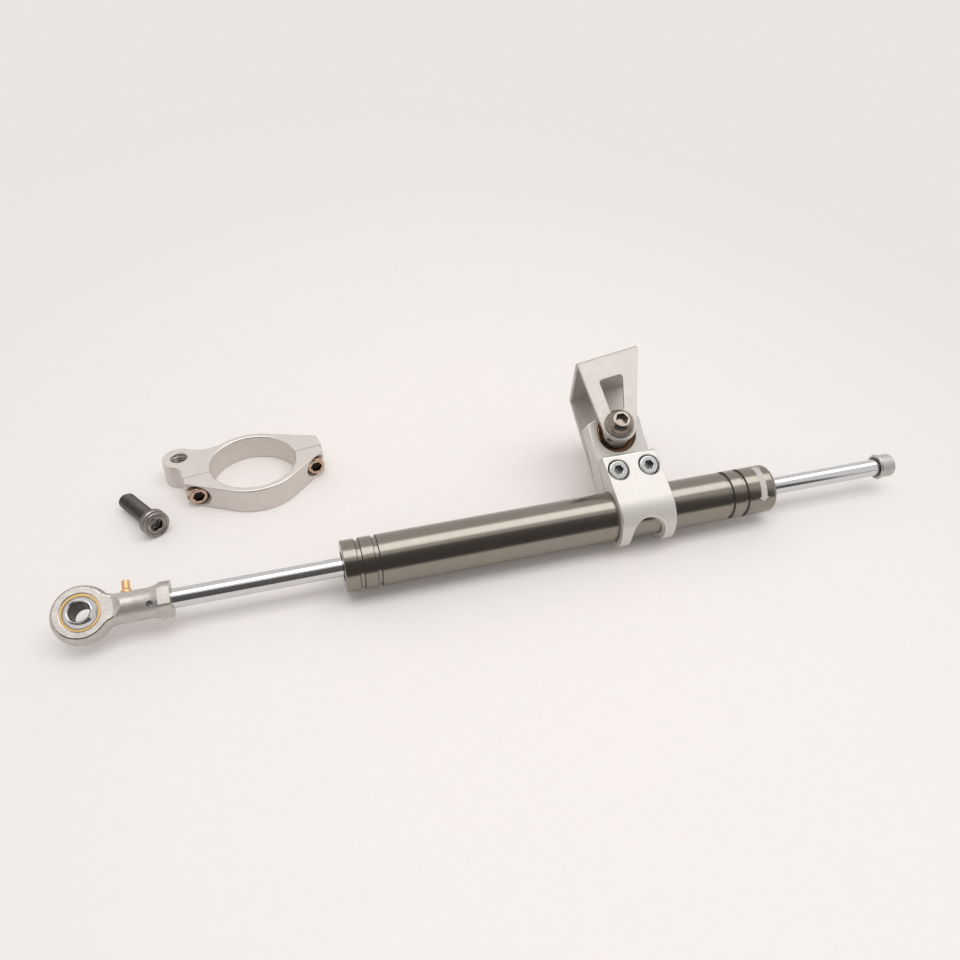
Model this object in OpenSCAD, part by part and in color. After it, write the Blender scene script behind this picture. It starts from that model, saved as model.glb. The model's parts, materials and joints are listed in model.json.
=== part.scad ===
// Motorcycle steering damper with its body clamp, frame bracket and fork clamp.
// Millimetres. +X runs along the piston rod from the rod end to the adjuster, +Z is up.
// The origin is the centre of the rod end's ball.

/* [Cylinder] */
// Outside diameter of the cylinder and both heads
tube_od = 22; // [21:0.5:26]
// Wall thickness of the cylinder tube
tube_wall = 2.5; // [2.2:0.1:2.8]
// Length of the cylinder over both heads
body_length = 197.5; // [190:0.5:230]
// Visible ring of the left head
left_ring = 6.8; // [6:0.1:9]
// Visible ring of the right head
right_ring = 15.2; // [12:0.1:17]
// Distance from the left seam to the turned groove beside it
left_band = 7.2; // [5:0.1:10]
// Distance from the right seam to the turned groove beside it
right_band = 7.3; // [5:0.1:12]
// Width of the seams and turned grooves
groove_width = 1.9; // [1:0.1:2]
// Depth of the seams and turned grooves
groove_depth = 0.8; // [0.5:0.1:1]
// Rounding of the right head's outer edge
right_edge = 2; // [0.5:0.1:2.5]
// Length of the spigot that screws into the tube
spigot_length = 14; // [12:0.5:16]

/* [Piston rod] */
// Diameter of the piston rod
rod_d = 8; // [7.5:0.5:9]
// Bare rod between the rod end and the left head
rod_left = 68.7; // [60:0.1:72]
// Bare rod between the right head and the adjuster knob
rod_right = 59; // [50:0.5:62]
// Diameter of the drilling for the adjuster needle
rod_drilling = 3.6; // [3:0.1:4]
// Length of the piston
piston_length = 12; // [10:0.5:16]
// Width of the guide band round the piston
band_width = 5; // [3:0.5:6]

/* [Adjuster] */
// Diameter of the adjuster knob
knob_d = 10.7; // [10.4:0.1:13]
// Length of the adjuster knob
knob_length = 8; // [7.5:0.5:12]
// Diameter of the adjuster needle
needle_d = 2.4; // [2:0.1:2.6]

/* [Rod end] */
// Diameter of the eye
eye_d = 24; // [24:0.5:28]
// Thickness of the eye
eye_width = 9; // [8:0.2:10]
// Distance from the ball centre to the end of the hexagon
eye_to_end = 33.8; // [33:0.2:40]
// Diameter of the ball
ball_d = 15.9; // [15.6:0.1:16.2]
// Width of the ball over its flat faces
ball_width = 12.8; // [12:0.2:13.2]
// Bore of the ball
ball_bore = 8; // [7:0.5:8.5]
// Diameter of the shank
shank_d = 12.5; // [12:0.1:13]
// Width of the hexagon across its flats
hex_flats = 14; // [13.6:0.1:16]
// Length of the hexagon
hex_length = 4.7; // [4:0.1:8]
// Angle of the bore above the horizontal as the damper lies
eye_lean = 60; // [30:1:90]

/* [Body clamp] */
// Place of the clamp's middle along the rod axis
clamp_x = 235.4; // [190:0.2:250]
// Width of the clamp along the cylinder
clamp_width = 25.5; // [25:0.5:32]
// Thickness of the clamp's wall round the cylinder
clamp_wall = 3; // [2.5:0.1:4]
// Angle by which the clamp lies back from upright
clamp_lean = 51.2; // [30:0.2:60]
// Height of the front half above the cylinder axis
clamp_height = 26; // [24:0.5:28]
// Slope of the front half's flat face
face_slope = 14; // [10:0.5:16]
// Distance between the two clamp screws
screw_spacing = 14.5; // [13:0.5:15]
// Height of the clamp screws above the cylinder axis
screw_height = 18.4; // [17.5:0.1:19.5]
// Radius of the arch cut out of the clamp's lower edge
arch_r = 8; // [6:0.5:9]
// Thickness of the lug that holds the swivel bearing
lug_thickness = 9; // [8:0.5:10]
// Height of the swivel bearing above the cylinder axis
bearing_height = 37.5; // [37:0.5:44]

/* [Pivot] */
// Outside diameter of the bearing race
race_d = 18; // [17.2:0.1:18.4]
// Diameter of the pivot bolt
pivot_d = 8; // [7:0.5:8]
// Diameter of the pivot bolt's head
pivot_head_d = 13.4; // [13:0.1:15]
// Length of the spacer between the ball and the bracket
spacer_length = 3.2; // [3:0.1:6]
// Angle by which the pivot leans sideways in its bearing as the damper lies
pivot_tilt = -3; // [-10:1:10]
// Angle by which the pivot bolt's head leans up in its bearing as the damper lies
pivot_rise = 10; // [0:1:10]

/* [Frame bracket] */
// Thickness of the bracket's sheet
sheet = 1.8; // [1.2:0.1:2]
// Width of the bracket over its bends
bracket_width = 31; // [28:0.2:36]
// Sideways offset of the bends from the pivot
bracket_offset = 10.1; // [8:0.1:11]
// Distance from the pivot up to the ridge
ridge_height = 36.1; // [34:0.1:42]
// Distance between the front and rear plates over their outsides
bracket_depth = 29.8; // [29:0.1:36]
// Drop of the web from the ridge to the rear bend
web_drop = 4.3; // [2:0.1:8]
// Length of the rear plate
rear_length = 51; // [44:0.5:52]
// Angle by which the rear plate leans sideways from its bend
rear_skew = 8.4; // [0:0.2:10]
// Radius of the front plate's round end
nose_r = 8; // [7.5:0.1:9]
// Turn of the bracket on its bolt as the damper lies
bracket_turn = 8; // [-20:0.2:20]
// Diameter of the holes that fasten the bracket to the frame
frame_hole_d = 6.5; // [5:0.5:8.5]
// Distance between the frame holes
frame_hole_spacing = 16; // [12:0.5:18]

/* [Fork clamp] */
// Bore of the fork clamp, the diameter of the fork leg
fork_bore = 41; // [38:0.5:44]
// Wall of the fork clamp
fork_wall = 3.2; // [3:0.1:4.5]
// Thickness of the fork clamp along the fork leg
fork_height = 12.6; // [11.5:0.1:16]
// Distance of each clamp bolt from the bore's middle
fork_bolt_x = 28.5; // [28:0.5:31]
// Place of the threaded ear along the split plane
ear_x = -32.2; // [-36:0.2:-31]
// Distance of the threaded ear behind the split plane
ear_y = 17.4; // [17:0.2:20]
// Radius of the ear
ear_r = 8; // [7:0.1:8.2]
// Thread in the ear
ear_thread = 8; // [6:0.5:8]

/* [Loose bolt] */
// Thread diameter of the loose mounting bolt
bolt_d = 8; // [6:0.5:8]
// Length of the loose mounting bolt under its head
bolt_length = 25; // [20:1:35]
// Diameter of the loose bolt's head
bolt_head_d = 12.4; // [12:0.1:14]

/* [Hidden] */
$fn = 64;
over = 1;
// Clearance between pieces that run on each other, on the radius
running = 0.04;
// Clearance between pieces that pass without touching, on the radius
passing = 0.3;
// Length of the piston's play in its band, each side
end_play = 0.05;
// Depth by which a straight side starts inside the round that it runs on from
bite = 0.03;

// Cylinder
tube_r = tube_od / 2;
tube_bore_r = tube_r - tube_wall;
body_start = eye_to_end + rod_left;
body_end = body_start + body_length;
tube_start = body_start + left_ring;
tube_end = body_end - right_ring;
left_edge = 0.5;
rod_r = rod_d / 2;

// Heads, seen from their outer face inward
wiper_r = rod_r + 2.4;
wiper_recess = 0.4;
wiper_length = 3;
wiper_lip = 0.6;
pocket_r = rod_r + 1.8;
seal_length = 4;
seal_web = 3;
seal_start = wiper_recess + wiper_length + seal_web;
o_ring_wire = 1.5;
o_ring_r = tube_bore_r - o_ring_wire / 2;
o_ring_from_end = 4;

// Piston
piston_r = tube_bore_r - passing;
band_depth = 1.5;
band_r = tube_bore_r - running;
chamber_start = tube_start + spigot_length;
chamber_end = tube_end - spigot_length;
piston_spare = (chamber_end - chamber_start - piston_length - rod_left - rod_right) / 2;
piston_start = chamber_start + rod_right + piston_spare;
piston_end = piston_start + piston_length;
clip_thickness = 1;
clip_depth = 0.5;
clip_r = rod_r + 1.6;
clip_gap = 3;
orifice_d = 1.2;
orifice_r = (rod_r + piston_r - band_depth) / 2;
port_d = 1.6;
port_gap = 3;

// Adjuster
knob_start = body_end + rod_right;
knob_end = knob_start + knob_length;
knob_cap = 2.2;
knob_edge = 1;
knob_rim = 0.4;
knob_flange = 0.6;
knob_flange_length = 1.5;
knob_mouth_r = rod_r + 0.8;
knob_mouth_depth = 1.6;
rod_end_gap = 0.3;
rod_tip = knob_end - knob_cap - rod_end_gap;
thread_in_eye = 16;
rod_start = eye_to_end - thread_in_eye;
drilling_start = piston_start - clip_thickness - port_gap - port_d * 1.5;
needle_start = piston_end + clip_thickness + port_gap - port_d;
needle_taper = 3;
needle_travel = 0.6;
needle_end = knob_end - knob_cap + needle_travel;
detent_x = (knob_start + knob_mouth_depth + rod_tip) / 2;
detent_d = 1.6;
detent_proud = 0.15;
detent_track = detent_proud + passing;
spring_length = 0.6;
spring_sheet = 0.2;

// Rod end
ball_r = ball_d / 2;
shank_r = shank_d / 2;
eye_r = eye_d / 2;
eye_face_r = eye_r - 1.5;
eye_bulge_r = (pow(eye_width / 2, 2) + pow(eye_r - eye_face_r, 2)) / (2 * (eye_r - eye_face_r));
liner_r = ball_r + 1.2;
liner_face_r = ball_r - 0.35;
liner_width = eye_width - 0.4;
liner_lip = 1.1;
neck_fillet = 10;
neck_eye_r = eye_r - 0.7;
neck_x = sqrt(pow(neck_eye_r + neck_fillet, 2) - pow(shank_r + neck_fillet, 2));
flat_r = 12.6;
ramp_angle = 33;
hex_start = eye_to_end - hex_length;
flare_length = 3;
corner_cut = 0.3;
hex_corner_r = hex_flats / sqrt(3) - corner_cut;
nipple_x = 17;
nipple_seat = shank_r - 0.6;
nipple_base_r = 2.3;
nipple_base = 1.8;
nipple_slope = 0.8;
nipple_r = 1.6;
nipple_height = shank_r + 4.6;
nipple_root_r = 1.4;
nipple_root = 1.2;
witness_x = 26;
witness_d = 2.6;
witness_turn = 20;
ball_chamfer = 0.5;

// Body clamp, built upright in front of the cylinder's middle and then laid back
clamp_r = tube_r + clamp_wall;
tangent_y = (bite - clamp_r) * cos(face_slope);
tangent_z = (clamp_r - bite) * sin(face_slope);
face_top_y = tangent_y + (clamp_height - tangent_z) * tan(face_slope);
face_screw_y = tangent_y + (screw_height - tangent_z) * tan(face_slope);
clamp_gap = 0.6;
clamp_edge = 0.8;
screw_d = 5;
screw_head_d = 8.5;
screw_head = 5;
screw_sunk = 0.3;
screw_socket = 4;
screw_socket_depth = 2.6;
counterbore_d = 9.8;
counterbore_y = face_screw_y + screw_head + screw_sunk;
screw_length = 12;
screw_play = 0.25;
screw_runout = 0.5;
arch_rise = 1;
arch_z = arch_rise - clamp_r;
lug_half = clamp_width / 2;
lug_shoulder = 6;
lug_peak_wall = 1.7;
lug_peak_half = 1;

// Pivot, built along Y through the swivel ball's middle
race_r = race_d / 2;
race_recess = 1;
pivot_r = pivot_d / 2;
spacer_r = 5.2;
spacer_wide_r = 7.3;
spacer_rim = 1;
bracket_back = ball_width / 2 + spacer_length;
bracket_front = bracket_back + sheet;
pivot_neck = 0.9;
pivot_neck_r = 5.6;
pivot_head = 4.7;
pivot_head_top_r = 3.7;
pivot_head_rim = 0.3;
pivot_head_r = pivot_head_d / 2;
dome_drop = (pow(pivot_head_r, 2) - pow(pivot_head_top_r, 2) - pow(pivot_head, 2)
    + pow(pivot_head_rim, 2)) / (2 * (pivot_head - pivot_head_rim));
dome_r = sqrt(pow(pivot_head_r, 2) + pow(pivot_head_rim + dome_drop, 2));
pivot_socket = 5;
pivot_socket_depth = 2.8;
collar_length = 2;
nut_height = 6;
nut_flats = 13;
nut_start = ball_width / 2 + collar_length;
pivot_proud = 0.6;
pivot_tip = nut_start + nut_height + pivot_proud;

// Frame bracket, in the pivot's frame with its front plate at negative Y
bend_r = 2;
bracket_left = bracket_offset - bracket_width / 2;
bracket_right = bracket_offset + bracket_width / 2;
rear_y = bracket_depth - bracket_front;
rear_z = ridge_height - web_drop;
window_r = 1.5;
window_top = 22.2;
window_bottom = 8.1;
window_top_left = 2;
window_bottom_left = 0.6;
window_top_right = 10.6;
window_bottom_right = 4.7;
rear_top = rear_z - bend_r;
rear_bottom = rear_z - rear_length;
frame_hole_edge = 9;
frame_hole_z = rear_bottom + frame_hole_edge;

// Pieces that lie apart
floor_z = -clamp_r;
fork_x = 72.6;
fork_y = 87;
fork_turn = 8.5;
fork_r = fork_bore / 2;
fork_out_r = fork_r + fork_wall;
fork_gap = 0.3;
fork_half = fork_bolt_x + 5.5;
fork_front_half = fork_bolt_x + 5;
fork_rear_tip = 8.9;
fork_front_tip = 4.5;
fork_pocket_d = 10.4;
fork_seat = 3.75;
fork_screw_length = 12;
fork_socket = 5;
fork_socket_depth = 3;
ear_side = -fork_half + 0.5;
ear_fillet = 4;
ear_sweep = 15;
fork_edge = 0.4;
loose_x = 24.4;
loose_y = 62;
loose_turn = 119;
bolt_head = 5;
bolt_socket = 5;
bolt_socket_depth = 2.8;
bolt_lie = atan((bolt_head_d - bolt_d) / 2 / bolt_length);

// Placing

// Turns a shape built along Z onto the rod axis
module on_axis(x) {
    translate([x, 0, 0]) rotate([0, 90, 0]) children();
}

// Frame of the rod end: bore along Z, grease nipple along Y
module at_eye() {
    rotate([90 - eye_lean, 0, 0]) children();
}

// Frame of the body clamp: Z up the lug, front face toward negative Y
module at_clamp() {
    translate([clamp_x, 0, 0]) rotate([-clamp_lean, 0, 0]) children();
}

// Frame of the pivot: bolt along Y, its head toward negative Y
module at_pivot() {
    at_clamp() translate([0, lug_thickness / 2, bearing_height]) rotate([0, 0, pivot_tilt])
        rotate([-pivot_rise, 0, 0]) children();
}

// Frame of the bracket on its bolt
module at_bracket() {
    at_pivot() rotate([0, -bracket_turn, 0]) children();
}

// Frame of the fork clamp as it lies: X along the split plane
module at_fork() {
    translate([fork_x, fork_y, floor_z]) rotate([0, 0, fork_turn]) children();
}

// Turns a shape built along Z to point along positive Y from the given height of Y
module along_y(y) {
    translate([0, y, 0]) rotate([-90, 0, 0]) children();
}

// Shared shapes

// Plain ring along the rod axis
module ring(x, length, outer_r, inner_r) {
    on_axis(x) difference() {
        cylinder(h = length, r = outer_r);
        translate([0, 0, -over]) cylinder(h = length + 2 * over, r = inner_r);
    }
}

// Cutter for a hexagon socket, along Z from the face inward
module hex_socket(flats, depth) {
    translate([0, 0, -over]) cylinder(h = depth + over, d = flats * 2 / sqrt(3), $fn = 6);
}

// Socket head screw along Z, its head below zero and its shank above
module socket_screw(d, length, head_d, head, socket, socket_depth) {
    edge = 0.4;
    difference() {
        rotate_extrude() polygon([
            [0, -head], [head_d / 2 - edge, -head], [head_d / 2, edge - head], [head_d / 2, 0],
            [d / 2, 0], [d / 2, length - edge], [d / 2 - edge, length], [0, length]]);
        translate([0, 0, -head]) hex_socket(socket, socket_depth);
    }
}

// Ball with flat faces and a bore, along Z
module bearing_ball(bore) {
    mouth_r = bore / 2 + ball_chamfer;
    difference() {
        sphere(r = ball_r);
        for (side = [0, 1]) mirror([0, 0, side]) {
            translate([0, 0, ball_width / 2]) cylinder(h = ball_d, r = ball_d);
            translate([0, 0, ball_width / 2 - ball_chamfer])
                cylinder(h = 2 * ball_chamfer, r1 = bore / 2, r2 = mouth_r + ball_chamfer);
        }
        cylinder(h = 2 * ball_d, d = bore, center = true);
    }
}

// Space that the ball takes inside a race
module ball_space() {
    sphere(r = ball_r + running);
}

// Plane outline with rounded corners, given the centres of the corners in turn
module round_polygon(centres, r) {
    count = len(centres);
    polygon(centres);
    for (i = [0 : count - 1]) {
        a = centres[i];
        b = centres[(i + 1) % count];
        along = (b - a) / norm(b - a);
        out = [along[1], -along[0]] * r;
        translate(a) circle(r);
        polygon([a, a + out, b + out, b]);
    }
}

// Hollow corner between two round outlines, given the centre of the rounding tool
module hollow_corner(a, b, tool, r) {
    difference() {
        polygon([a, tool, b]);
        translate(tool) circle(r);
    }
}

// Cylinder and heads

// Section of a turned groove at the given place along the cylinder
module groove_section(x) {
    translate([tube_r - groove_depth, x - groove_width / 2]) square([groove_depth + over, groove_width]);
}

module cylinder_tube() {
    color([0.55, 0.51, 0.46]) on_axis(0) rotate_extrude() difference() {
        translate([tube_bore_r, tube_start]) square([tube_wall, tube_end - tube_start]);
        for (x = [tube_start, tube_start + left_band, tube_end - right_band, tube_end]) groove_section(x);
    }
}

// Head seen from its outer face, which is at zero; the spigot points along positive X
module head(ring_length, edge) {
    whole = ring_length + spigot_length;
    groove = whole - o_ring_from_end;
    color([0.55, 0.51, 0.46]) on_axis(0) difference() {
        rotate_extrude() {
            difference() {
                union() {
                    square([tube_r - edge, ring_length]);
                    translate([0, edge]) square([tube_r, ring_length - edge]);
                    translate([tube_r - edge, edge]) circle(edge);
                }
                groove_section(ring_length);
            }
            translate([0, ring_length]) square([tube_bore_r, spigot_length]);
        }
        translate([0, 0, -over]) cylinder(h = whole + 2 * over, r = rod_r + passing);
        translate([0, 0, -over]) cylinder(h = wiper_recess + wiper_length + over, r = wiper_r);
        translate([0, 0, seal_start]) cylinder(h = whole, r = pocket_r);
        rotate_extrude() translate([o_ring_r - o_ring_wire / 2, groove - o_ring_wire / 2])
            square([o_ring_wire, o_ring_wire]);
    }
}

// Places a piece of a head at the left or the right end of the cylinder
module at_left() {
    translate([body_start, 0, 0]) children();
}

module at_right() {
    translate([body_end, 0, 0]) mirror([1, 0, 0]) children();
}

module wiper() {
    inner_r = rod_r + running;
    color([0.1, 0.1, 0.1]) on_axis(wiper_recess) rotate_extrude() polygon([
        [inner_r, 0], [inner_r + wiper_lip, 0], [wiper_r - wiper_lip, wiper_lip], [wiper_r, wiper_lip],
        [wiper_r, wiper_length], [inner_r, wiper_length]]);
}

module rod_seal() {
    lip = 1;
    inner_r = rod_r + running;
    middle_r = (inner_r + pocket_r) / 2;
    color([0.15, 0.15, 0.16]) on_axis(seal_start) rotate_extrude() polygon([
        [inner_r, 0], [pocket_r, 0], [pocket_r, seal_length], [middle_r, seal_length - lip],
        [inner_r, seal_length]]);
}

module guide_bush(ring_length) {
    bush_start = seal_start + seal_length;
    color([0.72, 0.52, 0.3])
        ring(bush_start, ring_length + spigot_length - bush_start, pocket_r, rod_r + running);
}

module head_o_ring(ring_length) {
    on_axis(ring_length + spigot_length - o_ring_from_end)
        rotate_extrude() translate([o_ring_r, 0]) circle(d = o_ring_wire);
}

module left_head() {
    at_left() head(left_ring, left_edge);
}

module right_head() {
    at_right() head(right_ring, right_edge);
}

module left_guide_bush() {
    at_left() guide_bush(left_ring);
}

module right_guide_bush() {
    at_right() guide_bush(right_ring);
}

module left_rod_seal() {
    at_left() rod_seal();
}

module right_rod_seal() {
    at_right() rod_seal();
}

module left_wiper() {
    at_left() wiper();
}

module right_wiper() {
    at_right() wiper();
}

module head_o_rings() {
    color([0.1, 0.1, 0.1]) {
        at_left() head_o_ring(left_ring);
        at_right() head_o_ring(right_ring);
    }
}

// Piston and rod

module piston_rod() {
    clip_in_r = rod_r - clip_depth;
    edge = 0.5;
    pocket = detent_d / 2 + running;
    color([0.85, 0.85, 0.87]) difference() {
        on_axis(0) rotate_extrude() polygon([
            [0, rod_start], [rod_r - edge, rod_start], [rod_r, rod_start + edge],
            [rod_r, piston_start - clip_thickness], [clip_in_r, piston_start - clip_thickness],
            [clip_in_r, piston_start], [rod_r, piston_start],
            [rod_r, piston_end], [clip_in_r, piston_end],
            [clip_in_r, piston_end + clip_thickness], [rod_r, piston_end + clip_thickness],
            [rod_r, rod_tip - edge], [rod_r - edge, rod_tip], [0, rod_tip]]);
        on_axis(drilling_start) cylinder(h = rod_tip, d = rod_drilling);
        for (x = [piston_start - clip_thickness - port_gap, piston_end + clip_thickness + port_gap])
            translate([x, 0, 0]) cylinder(h = rod_d + over, d = port_d, center = true);
        translate([detent_x, 0, rod_r - detent_depth()]) cylinder(h = rod_d, r = pocket);
    }
}

// Depth of the pocket for the detent's spring and ball
function detent_depth() = detent_d - detent_proud + spring_length;

module piston() {
    middle = (piston_start + piston_end) / 2;
    groove = band_width + 2 * end_play;
    color([0.75, 0.75, 0.77]) difference() {
        ring(piston_start, piston_length, piston_r, rod_r);
        on_axis(middle - groove / 2) rotate_extrude()
            translate([piston_r - band_depth, 0]) square([band_depth + over, groove]);
        on_axis(piston_start - over) for (turn = [0, 180]) rotate(turn)
            translate([orifice_r, 0, 0]) cylinder(h = piston_length + 2 * over, d = orifice_d);
    }
}

module piston_circlips() {
    color([0.35, 0.35, 0.37]) for (x = [piston_start - clip_thickness, piston_end]) difference() {
        ring(x, clip_thickness, clip_r, rod_r - clip_depth);
        translate([x - over, -clip_gap / 2, 0]) cube([clip_thickness + 2 * over, clip_gap, clip_r + over]);
    }
}

module piston_band() {
    middle = (piston_start + piston_end) / 2;
    color([0.3, 0.42, 0.36])
        ring(middle - band_width / 2, band_width, band_r, piston_r - band_depth + running);
}

// Adjuster

module adjuster_knob() {
    knob_r = knob_d / 2;
    flange_r = knob_r + knob_flange;
    track_r = rod_r + detent_track;
    color([0.7, 0.68, 0.66]) difference() {
        on_axis(knob_start) rotate_extrude() {
            polygon([[0, 0], [flange_r - knob_rim, 0], [flange_r, knob_rim],
                [flange_r, knob_flange_length - knob_rim], [knob_r, knob_flange_length],
                [knob_r, knob_length - knob_edge], [0, knob_length - knob_edge]]);
            translate([knob_r - knob_edge, knob_length - knob_edge]) circle(knob_edge);
            square([knob_r - knob_edge, knob_length]);
        }
        on_axis(knob_start - over) cylinder(h = knob_mouth_depth + over, r = knob_mouth_r);
        on_axis(knob_start) cylinder(h = knob_length - knob_cap, r = rod_r + running);
        on_axis(detent_x - detent_d / 2) cylinder(h = detent_d, r = track_r);
        on_axis(knob_start) cylinder(h = needle_end - knob_start + needle_travel, d = needle_d + 2 * running);
    }
}

module adjuster_needle() {
    needle_r = needle_d / 2;
    color([0.8, 0.78, 0.7]) on_axis(0) rotate_extrude() polygon([
        [0, needle_start], [needle_r / 3, needle_start], [needle_r, needle_start + needle_taper],
        [needle_r, needle_end], [0, needle_end]]);
}

module detent_ball() {
    color([0.8, 0.8, 0.82])
        translate([detent_x, 0, rod_r + detent_proud - detent_d / 2]) sphere(d = detent_d);
}

// Dished spring washer under the detent ball
module detent_spring() {
    outer_r = detent_d / 2;
    inner_r = outer_r / 4;
    rise = spring_length - spring_sheet;
    color([0.5, 0.5, 0.52]) translate([detent_x, 0, rod_r - detent_depth()]) rotate_extrude() polygon([
        [outer_r - spring_sheet, 0], [outer_r, 0], [outer_r, spring_sheet], [inner_r, spring_length],
        [inner_r, rise]]);
}

// Rod end

// Section of the liner, wide in the middle and swaged in at both faces
module liner_section() {
    half = liner_width / 2;
    polygon([[0, -half], [liner_face_r, -half], [liner_r, liner_lip - half], [liner_r, half - liner_lip],
        [liner_face_r, half], [0, half]]);
}

// Section of the hollow neck between the eye and the shank, drawn as radius across and length up
module neck_section() {
    tool = [shank_r + neck_fillet, neck_x];
    difference() {
        polygon([[0, 0], tool, [0, neck_x]]);
        translate(tool) circle(neck_fillet + bite);
    }
}

module rod_end_housing() {
    half = eye_width / 2;
    color([0.74, 0.71, 0.67]) at_eye() difference() {
        union() {
            rotate_extrude() {
                translate([0, -half]) square([eye_face_r, eye_width]);
                intersection() {
                    translate([0, -half]) square([eye_r, eye_width]);
                    translate([eye_r - eye_bulge_r, 0]) circle(eye_bulge_r);
                }
            }
            on_axis(0) rotate_extrude() neck_section();
            on_axis(eye_face_r - over) cylinder(h = hex_start - eye_face_r + over, r = shank_r);
            on_axis(hex_start - flare_length) cylinder(h = flare_length, r1 = shank_r, r2 = hex_flats / 2);
            intersection() {
                on_axis(hex_start) rotate(30) cylinder(h = hex_length, d = hex_flats * 2 / sqrt(3), $fn = 6);
                on_axis(hex_start) cylinder(h = hex_length, r = hex_corner_r);
            }
        }
        for (side = [0, 1]) mirror([0, 0, side]) rotate_extrude() polygon([
            [0, half], [flat_r, half], [flat_r + (eye_r - half) / tan(ramp_angle), eye_r], [0, eye_r]]);
        rotate_extrude() liner_section();
        cylinder(h = eye_width + over, r = liner_face_r, center = true);
        on_axis(rod_start) cylinder(h = eye_to_end, r = rod_r);
        translate([nipple_x, 0, 0]) {
            along_y(nipple_seat) cylinder(h = shank_d, r = nipple_base_r);
            along_y(nipple_seat - nipple_root) cylinder(h = shank_d, r = nipple_root_r);
        }
        translate([witness_x, 0, 0]) rotate([witness_turn, 0, 0]) cylinder(h = shank_d, d = witness_d);
    }
}

module rod_end_liner() {
    color([0.84, 0.66, 0.36]) at_eye() difference() {
        rotate_extrude() liner_section();
        ball_space();
    }
}

module rod_end_ball() {
    color([0.8, 0.8, 0.82]) at_eye() bearing_ball(ball_bore);
}

module grease_nipple() {
    neck = nipple_seat + nipple_base;
    dimple = 0.6;
    color([0.85, 0.6, 0.4]) at_eye() translate([nipple_x, 0, 0]) along_y(0) rotate_extrude() polygon([
        [0, nipple_seat - nipple_root], [nipple_root_r, nipple_seat - nipple_root],
        [nipple_root_r, nipple_seat], [nipple_base_r, nipple_seat], [nipple_base_r, neck - nipple_slope],
        [nipple_r, neck], [nipple_r, nipple_height], [dimple, nipple_height],
        [0, nipple_height - dimple]]);
}

// Body clamp

// Puts a shape at each clamp screw, built along Z from the front face inward
module at_clamp_screws() {
    for (side = [-1, 1])
        translate([side * screw_spacing / 2, 0, screw_height]) along_y(counterbore_y) children();
}

// Hole for the cylinder and the arch through the lower edge
module clamp_holes() {
    translate([-clamp_width, 0, 0]) rotate([0, 90, 0]) cylinder(h = 2 * clamp_width, r = tube_r);
    translate([0, 0, arch_z]) rotate([90, 0, 0]) cylinder(h = 4 * clamp_r, r = arch_r, center = true);
}

// Extrudes a side view, drawn as Y across and Z up, over the clamp's width
module clamp_side_view() {
    rotate([90, 0, 90]) linear_extrude(height = clamp_width, center = true) children();
}

module clamp_front_half() {
    edge = clamp_edge;
    color([0.93, 0.93, 0.92]) at_clamp() difference() {
        clamp_side_view() {
            intersection() {
                circle(clamp_r);
                translate([-2 * clamp_r, -clamp_r]) square([2 * clamp_r, 2 * clamp_r]);
            }
            polygon([[0, 0], [-clamp_gap, 0], [-clamp_gap, clamp_height], [face_top_y + edge, clamp_height],
                [face_top_y, clamp_height - edge], [tangent_y, tangent_z]]);
        }
        clamp_holes();
        translate([-clamp_width, -clamp_gap, 0]) cube([2 * clamp_width, clamp_r, clamp_height]);
        at_clamp_screws() {
            cylinder(h = clamp_r, d = screw_d + 2 * screw_play);
            translate([0, 0, -clamp_r]) cylinder(h = clamp_r, d = counterbore_d);
        }
    }
}

module clamp_rear_half() {
    lug_peak = race_r + lug_peak_wall;
    color([0.93, 0.93, 0.92]) at_clamp() difference() {
        union() {
            clamp_side_view() {
                intersection() {
                    circle(clamp_r);
                    translate([0, -clamp_r]) square([2 * clamp_r, 2 * clamp_r]);
                }
                square([lug_thickness, bearing_height]);
            }
            translate([0, lug_thickness, bearing_height]) rotate([90, 0, 0])
                linear_extrude(height = lug_thickness) polygon([
                    [-lug_half, -over], [lug_half, -over], [lug_half, lug_shoulder],
                    [lug_peak_half, lug_peak], [-lug_peak_half, lug_peak], [-lug_half, lug_shoulder]]);
        }
        clamp_holes();
        at_clamp_screws() cylinder(h = screw_length + screw_runout, d = screw_d);
        translate([0, 0, bearing_height]) along_y(-over) cylinder(h = lug_thickness + 2 * over, r = race_r);
    }
}

module clamp_screws() {
    color([0.86, 0.87, 0.88]) at_clamp() at_clamp_screws()
        socket_screw(screw_d, screw_length, screw_head_d, screw_head, screw_socket, screw_socket_depth);
}

module swivel_race() {
    edge = 0.5;
    half = lug_thickness / 2 - race_recess;
    color([0.72, 0.45, 0.28]) at_clamp() translate([0, lug_thickness / 2, bearing_height]) rotate([90, 0, 0])
        difference() {
            rotate_extrude() polygon([
                [0, -half], [race_r - edge, -half], [race_r, edge - half], [race_r, half - edge],
                [race_r - edge, half], [0, half]]);
            ball_space();
        }
}

// Pivot

module swivel_ball() {
    color([0.45, 0.43, 0.42]) at_pivot() rotate([90, 0, 0]) bearing_ball(pivot_d);
}

module pivot_bolt() {
    edge = 0.6;
    whole = bracket_front + pivot_tip;
    color([0.78, 0.74, 0.7]) at_pivot() along_y(-bracket_front) difference() {
        union() {
            translate([0, 0, -pivot_neck]) rotate_extrude() intersection() {
                translate([0, -pivot_head]) square([pivot_head_r, pivot_head]);
                translate([0, dome_drop]) circle(dome_r);
            }
            rotate_extrude() polygon([[0, -pivot_neck - over], [pivot_neck_r, -pivot_neck - over],
                [pivot_neck_r, 0], [pivot_r, 0], [pivot_r, whole - edge], [pivot_r - edge, whole],
                [0, whole]]);
        }
        translate([0, 0, -pivot_neck - pivot_head]) hex_socket(pivot_socket, pivot_socket_depth);
    }
}

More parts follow.
